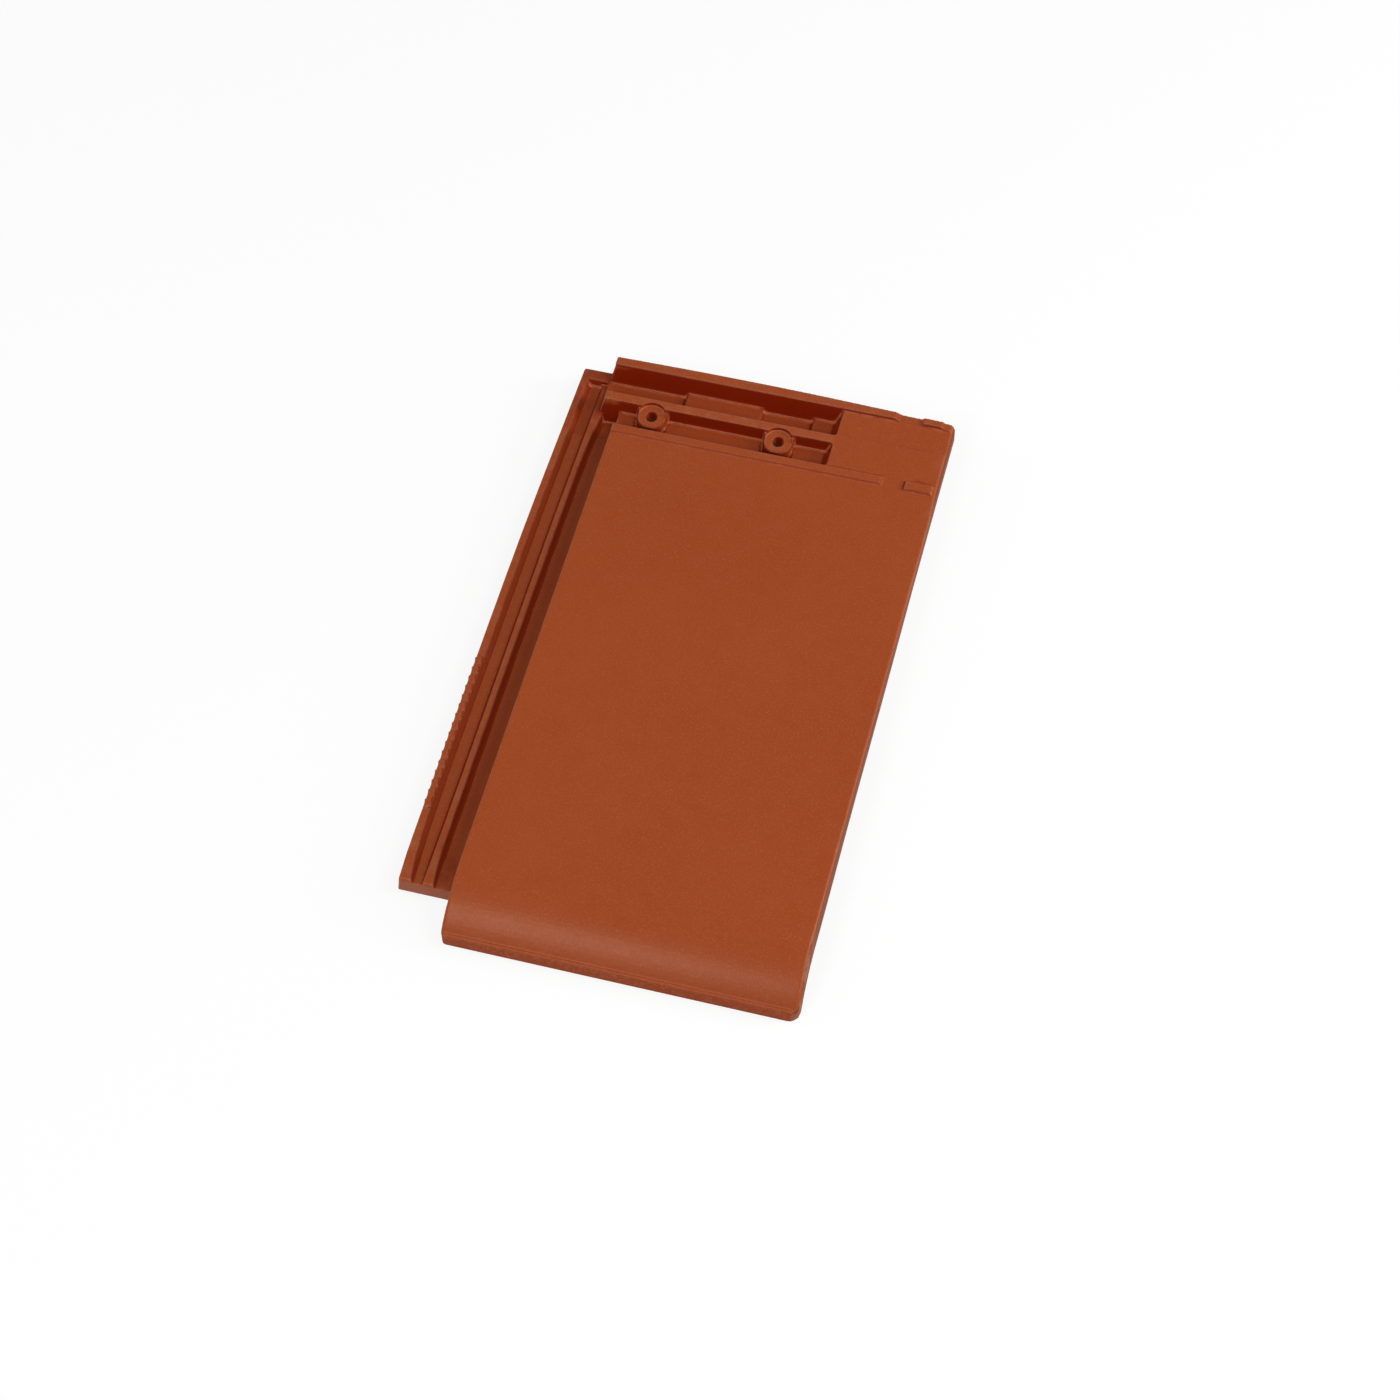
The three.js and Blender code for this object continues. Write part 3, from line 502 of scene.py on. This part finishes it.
# Painted highlight: a pale line in the hollow at the foot of the walls that face the front.
painted_fillet_highlight = (0 - bend).step(0.04, 0.16) * front.step(0.08, 0.30) * (1 - front.step(0.60, 0.85))
engobe = clay.mix(painted_shade * (1 - painted_fillet_highlight), engobe, PAINTED_SHADE_RED)
engobe = clay.mix(painted_fillet_highlight * 0.8, engobe, ENGOBE_PALE)

# %% Colour of the bare clay
CLAY = (0.420, 0.190, 0.115)
CLAY_DARK = (0.300, 0.105, 0.052)
bare = clay.mix((patch - 0.5) * 1.4 + 0.5, CLAY_DARK, CLAY)
bare = clay.mix(grain.step(0.44, 0.30) * 0.5, bare, CLAY_DARK)

# %% [markdown]
# The right side is cut along the mould's edge after the press and keeps almost no engobe. Its clay is
# painted dark as painted shade, less so in patches beside the nose. The lip is cut too, so that flecks
# of clay and small dark pits show through its engobe, and it is darkened a little with the same dark
# red as the painted shade.

# %% Cut sides, with painted shade on the right side
SIDE_SHADE_CLAY = (0.160, 0.0370, 0.0130)
PIT = (0.070, 0.0140, 0.0060)
LIP_TOP, LIP_DEPTH = 10 * MM, 4 * MM
PALER_PATCHES_END = FRONT_Y + 60 * MM
# Painted shade: the right side's clay is coloured dark, lighter in patches near the nose.
side = right.step(0.35, 0.65) * across.step(RIGHT_X - 5 * MM, RIGHT_X - 4 * MM)
side = side * (1 - height.step(FACE_Z - 1.3 * MM, FACE_Z - 0.6 * MM))
paler_near_nose = patch.step(0.44, 0.56) * (1 - along.step(PALER_PATCHES_END - 35 * MM, PALER_PATCHES_END))
bare = clay.mix(side * (1 - paler_near_nose * 0.5), bare, SIDE_SHADE_CLAY)
lip = 1 - height.step(LIP_TOP, LIP_TOP + 3 * MM)
lip = lip * (1 - along.step(FRONT_Y + LIP_DEPTH, FRONT_Y + LIP_DEPTH + 3 * MM))
fleck = clay.noise(place, 420, 2, 0.6)
# The lip takes a little of the painted shade's dark red.
engobe = clay.mix(lip * 0.20, engobe, PAINTED_SHADE_RED)
engobe = clay.mix(fleck.step(0.46, 0.70) * lip * 0.25, engobe, CLAY)
pits = fleck.step(0.27, 0.24) * lip.math("MAXIMUM", side * 0.8)

# %% The skin
# Edges lighten towards bare clay, partly as wear and partly as a painted highlight.
edge_wear_and_highlight = bend.step(0.05, 0.40) * (patch * 0.8 + 0.2) * (1 - lip)
ragged = (patch - 0.5) * (4 * MM) - 2 * MM
ragged = ragged + along.step(FRONT_Y + 20 * MM, FRONT_Y + 40 * MM) * (3 * MM)
skin = height.step(ragged - 1 * MM, ragged + 1 * MM)
skin = skin * (1 - under.step(0.3, 0.7)) * (1 - side * 0.85)
colour = clay.mix(skin * (1 - edge_wear_and_highlight * 0.45), bare, engobe)
colour = clay.mix(pits, colour, PIT)

rough = 0.35 + (patch - 0.5) * 0.10 + (peel - 0.5) * 0.12 + (1 - skin) * 0.40 + lip * 0.45
tooth = grain * 0.4 + speck * 0.3 + peel * 0.8 + fleck * lip * 0.6 - pits
bumped = clay.node("Bump", {}, Strength=0.35, Distance=0.15 * MM, Height=tooth)
clay.set(Base_Color=colour, Roughness=rough, Normal=bumped)
clay.shader.inputs["Specular IOR Level"].default_value = 0.20
clay.shader.inputs["Specular Tint"].default_value = (1.0, 0.76, 0.60, 1)

tile.data.materials.clear()
tile.data.materials.append(clay.material)
solid.data.materials.clear()
solid.data.materials.append(clay.material)

# %% Put the finished tile in the frame
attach(tile, "root")
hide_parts("roof_tile")

# %% [markdown]
# ## Floor
#
# The tile lies on white paper. A camera ray sees the paper as plain white, and every other ray meets a
# pale matt surface that throws some light back up under the lip.

# %% White floor
bpy.ops.object.select_all(action="DESELECT")
bpy.ops.mesh.primitive_plane_add(size=14, location=(0, 0, 0))
floor = bpy.context.active_object
floor.name = "paper_floor"
paper = Finish("paper")
paper.set(Base_Color=(0.92, 0.92, 0.92, 1), Roughness=0.9)
paper.shader.inputs["Specular IOR Level"].default_value = 0.0
rays = paper.tree.nodes.new("ShaderNodeLightPath")
seen = Wire(paper, rays.outputs["Is Camera Ray"])
seen = seen.math("MAXIMUM", Wire(paper, rays.outputs["Is Glossy Ray"]))
seen = seen.math("MAXIMUM", Wire(paper, rays.outputs["Is Transmission Ray"]))
glow = paper.node("Emission", {}, Color=(1, 1, 1, 1), Strength=1.0)
shown = paper.node("MixShader", {}, seen * 0.85, Wire(paper, paper.shader.outputs[0]), glow)
paper.tree.links.new(shown.socket, paper.tree.nodes["Material Output"].inputs["Surface"])
floor.data.materials.append(paper.material)
